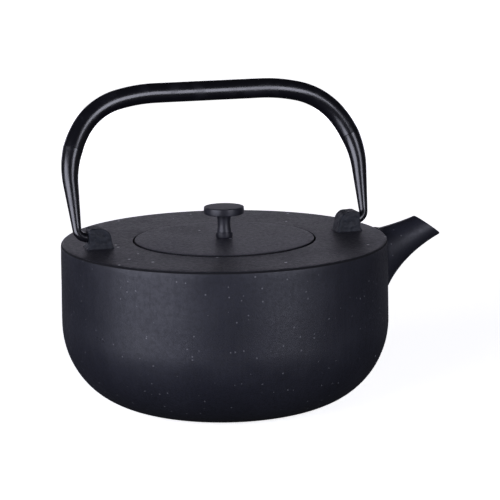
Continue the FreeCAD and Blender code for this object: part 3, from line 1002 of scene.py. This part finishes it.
def turned_black():
    """Blackened turned metal: fine rings about the axis, and a duller top."""
    finish = Finish("turned_black", Specular_IOR_Level=0.32)
    across, z = axis_and_height(finish)
    on_axis = finish.node("ShaderNodeCombineXYZ", {0: across, 2: z}).outputs[0]
    rings = finish.noise(0.35, 2.0, 0.6, on_axis)
    clouds = finish.between(finish.noise(4.0, 2.0), *CLOUDS)
    finish.feed("Base Color", finish.mix(clouds, *KNOB_COLOURS))
    roughness = finish.between(rings, *CLOUDS, *KNOB_ROUGHNESS)
    on_top = finish.between(z, (KNOB_TOP - 0.35) * MM, (KNOB_TOP - 0.05) * MM)
    duller = finish.math("MULTIPLY", on_top, KNOB_TOP_ROUGHNESS)
    finish.feed("Roughness", finish.math("MAXIMUM", roughness, duller))
    finish.feed("Normal", finish.bump(rings, 0.012, finish.bump(finish.noise(0.6, 2.0), 0.01)))
    return finish.material


def bright_steel(name, colour, low, high):
    """Stainless sheet or a turned part, lightly brushed."""
    finish = Finish(name, Metallic=1.0)
    brushed = finish.noise(0.25, 2.0, 0.6, finish.stretched(1.0, 1.0, 8.0))
    clouds = finish.between(finish.noise(14, 2.0), *CLOUDS)
    clear, cloudy = grey(colour, STEEL_TINTS[0]), grey(colour * CLOUDY_STEEL, STEEL_TINTS[1])
    finish.feed("Base Color", finish.mix(clouds, clear, cloudy))
    finish.feed("Roughness", finish.between(brushed, *CLOUDS, low, high))
    finish.feed("Normal", finish.bump(brushed, 0.006))
    return finish.material


# ---------------------------------------------------------------- stage, light and camera

def view_axes():
    """Right, up and forward of the camera before its small roll."""
    right = Vector((math.cos(VIEW_TURN), -math.sin(VIEW_TURN), 0))
    level = Vector((math.sin(VIEW_TURN), math.cos(VIEW_TURN), 0))
    forward = level * math.cos(VIEW_TILT) - Vector((0, 0, math.sin(VIEW_TILT)))
    up = level * math.sin(VIEW_TILT) + Vector((0, 0, math.cos(VIEW_TILT)))
    return right, up, forward


def make_camera():
    right, up, forward = view_axes()
    data = bpy.data.cameras.new("camera")
    data.lens = LENS
    data.sensor_width = SENSOR_WIDTH
    data.clip_start = NEAREST_SEEN
    camera = bpy.data.objects.new("camera", data)
    aim = Vector((0, 0, AIM_HEIGHT)) + right * AIM_RIGHT + up * AIM_UP
    camera_right = right * math.cos(VIEW_ROLL) - up * math.sin(VIEW_ROLL)
    camera_up = right * math.sin(VIEW_ROLL) + up * math.cos(VIEW_ROLL)
    camera.matrix_world = matrix_from(camera_right, camera_up, -forward, aim - forward * VIEW_DISTANCE)
    bpy.context.scene.collection.objects.link(camera)
    bpy.context.scene.camera = camera


def matrix_from(x_axis, y_axis, z_axis, place):
    matrix = Matrix((x_axis, y_axis, z_axis)).transposed().to_4x4()
    matrix.translation = place
    return matrix


def make_softbox(name, bearing, elevation, distance, width, height, power, colour):
    """Area light aimed at the pot; the bearing is measured from the camera's side, right positive."""
    right, up, forward = view_axes()
    towards = Vector((-forward.x, -forward.y, 0)).normalized()
    turn, tilt = math.radians(bearing), math.radians(elevation)
    level = towards * math.cos(turn) + right * math.sin(turn)
    direction = level * math.cos(tilt) + Vector((0, 0, math.sin(tilt)))
    data = bpy.data.lights.new(name, "AREA")
    data.shape = "RECTANGLE"
    data.size = width
    data.size_y = height
    data.energy = power
    data.color = colour
    lamp = bpy.data.objects.new(name, data)
    lamp.location = Vector((0, 0, LAMP_AIM_HEIGHT)) + direction * distance
    lamp.rotation_euler = direction.to_track_quat("Z", "Y").to_euler()
    lamp.visible_camera = False
    bpy.context.scene.collection.objects.link(lamp)


def make_floor():
    """Pale floor that curves up behind the pot; it lights nothing, so that the iron stays dark."""
    profile = list(FLOOR_FLAT)
    for step in range(SWEEP_STEPS + 1):
        turn = math.pi / 2 * step / SWEEP_STEPS
        behind_pot = SWEEP_FROM + SWEEP_RADIUS * math.sin(turn)
        profile.append((behind_pot, SWEEP_RADIUS * (1 - math.cos(turn))))
    profile.append((SWEEP_FROM + SWEEP_RADIUS, SWEEP_TOP))
    points = [(side * FLOOR_HALF_WIDTH, y, z) for y, z in profile for side in (-1, 1)]
    faces = [(2 * k, 2 * k + 1, 2 * k + 3, 2 * k + 2) for k in range(len(profile) - 1)]
    mesh = bpy.data.meshes.new("floor")
    mesh.from_pydata(points, [], faces)
    mesh.shade_smooth()
    floor = bpy.data.objects.new("floor", mesh)
    floor.rotation_euler = (0, 0, -VIEW_TURN)
    floor.visible_diffuse = False
    floor.visible_glossy = False
    bpy.context.scene.collection.objects.link(floor)
    finish = Finish("pale_floor", Roughness=0.9, Specular_IOR_Level=0.1, Emission_Color=grey(1.0))
    darker, lighter = (grey(level, FLOOR_BLUE) for level in FLOOR_GREYS)
    finish.feed("Base Color", finish.mix(finish.noise(300, 1.0), darker, lighter))
    behind = finish.node("ShaderNodeSeparateXYZ", {0: finish.place}).outputs[1]
    finish.feed("Emission Strength", finish.between(behind, 0.0, SWEEP_FROM, FLOOR_GLOW, BACKDROP_GLOW))
    mesh.materials.append(finish.material)


def make_world():
    """Dim room: a little light from all round the horizon and almost none from overhead."""
    world = bpy.data.worlds.new("studio")
    world.use_nodes = True
    tree = world.node_tree
    background = tree.nodes["Background"]
    place = tree.nodes.new("ShaderNodeTexCoord")
    split = tree.nodes.new("ShaderNodeSeparateXYZ")
    ramp = tree.nodes.new("ShaderNodeValToRGB")
    tree.links.new(place.outputs["Generated"], split.inputs[0])
    middle = tree.nodes.new("ShaderNodeMath")
    middle.operation = "MULTIPLY_ADD"
    middle.inputs[1].default_value = 0.5
    middle.inputs[2].default_value = 0.5
    tree.links.new(split.outputs["Z"], middle.inputs[0])
    tree.links.new(middle.outputs[0], ramp.inputs[0])
    tree.links.new(ramp.outputs["Color"], background.inputs["Color"])
    stops = ramp.color_ramp.elements
    for stop, (position, level) in zip(stops, (ROOM_BELOW, ROOM_ABOVE)):
        stop.position = position
        stop.color = grey(level, ROOM_BLUE)
    stops.new(ROOM_LEVEL[0]).color = grey(ROOM_LEVEL[1], ROOM_BLUE)
    bpy.context.scene.world = world


def make_stage():
    make_floor()
    make_world()
    for softbox in SOFTBOXES:
        make_softbox(*softbox)
    scene = bpy.context.scene
    scene.view_settings.view_transform = "Standard"
    scene.view_settings.look = "None"


# ---------------------------------------------------------------- the whole scene

def make_pieces():
    iron = cast_iron("cast_iron", 1.0)
    lid_iron = cast_iron("lid_iron", LID_LIGHTNESS)
    rough_iron = lug_iron()
    lacquer = black_lacquer()
    knob_black = turned_black()
    infuser_steel = bright_steel("infuser_steel", *INFUSER_STEEL)
    screw_steel = bright_steel("screw_steel", *SCREW_STEEL)
    finish_piece(make_pot_casting(), "pot", iron, "cast_iron", "pot_bowl", "pot_deck", "spout")
    finish_piece(make_lug("front_lug_casting", *FRONT_LUG), "pot", rough_iron, "lug_iron", "front_lug")
    finish_piece(make_lug("rear_lug_casting", *REAR_LUG), "pot", rough_iron, "lug_iron", "rear_lug")
    finish_piece(make_handle_grip(), "handle", lacquer, "handle_steel", "handle_grip")
    finish_piece(make_handle_leg("front_leg", 1), "handle", lacquer, "handle_steel", "front_handle_leg")
    finish_piece(make_handle_leg("rear_leg", -1), "handle", lacquer, "handle_steel", "rear_handle_leg")
    finish_piece(make_lid_disc(), "lid", lid_iron, "cast_iron", "lid_plate")
    finish_piece(make_turned_knob(), "lid", knob_black, "knob_metal", "lid_knob")
    finish_piece(make_infuser_net(), "infuser", infuser_steel, "infuser_steel", "infuser_mesh")
    finish_piece(make_infuser_cup(), "infuser", infuser_steel, "infuser_steel", "infuser_floor")
    carried_over = (("knob_screw", screw_steel), ("knob_washer", screw_steel), ("infuser_rim", infuser_steel))
    for node, material in carried_over:
        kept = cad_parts[node]
        kept.data.materials.clear()
        kept.data.materials.append(material)


make_stage()
make_camera()
make_pieces()
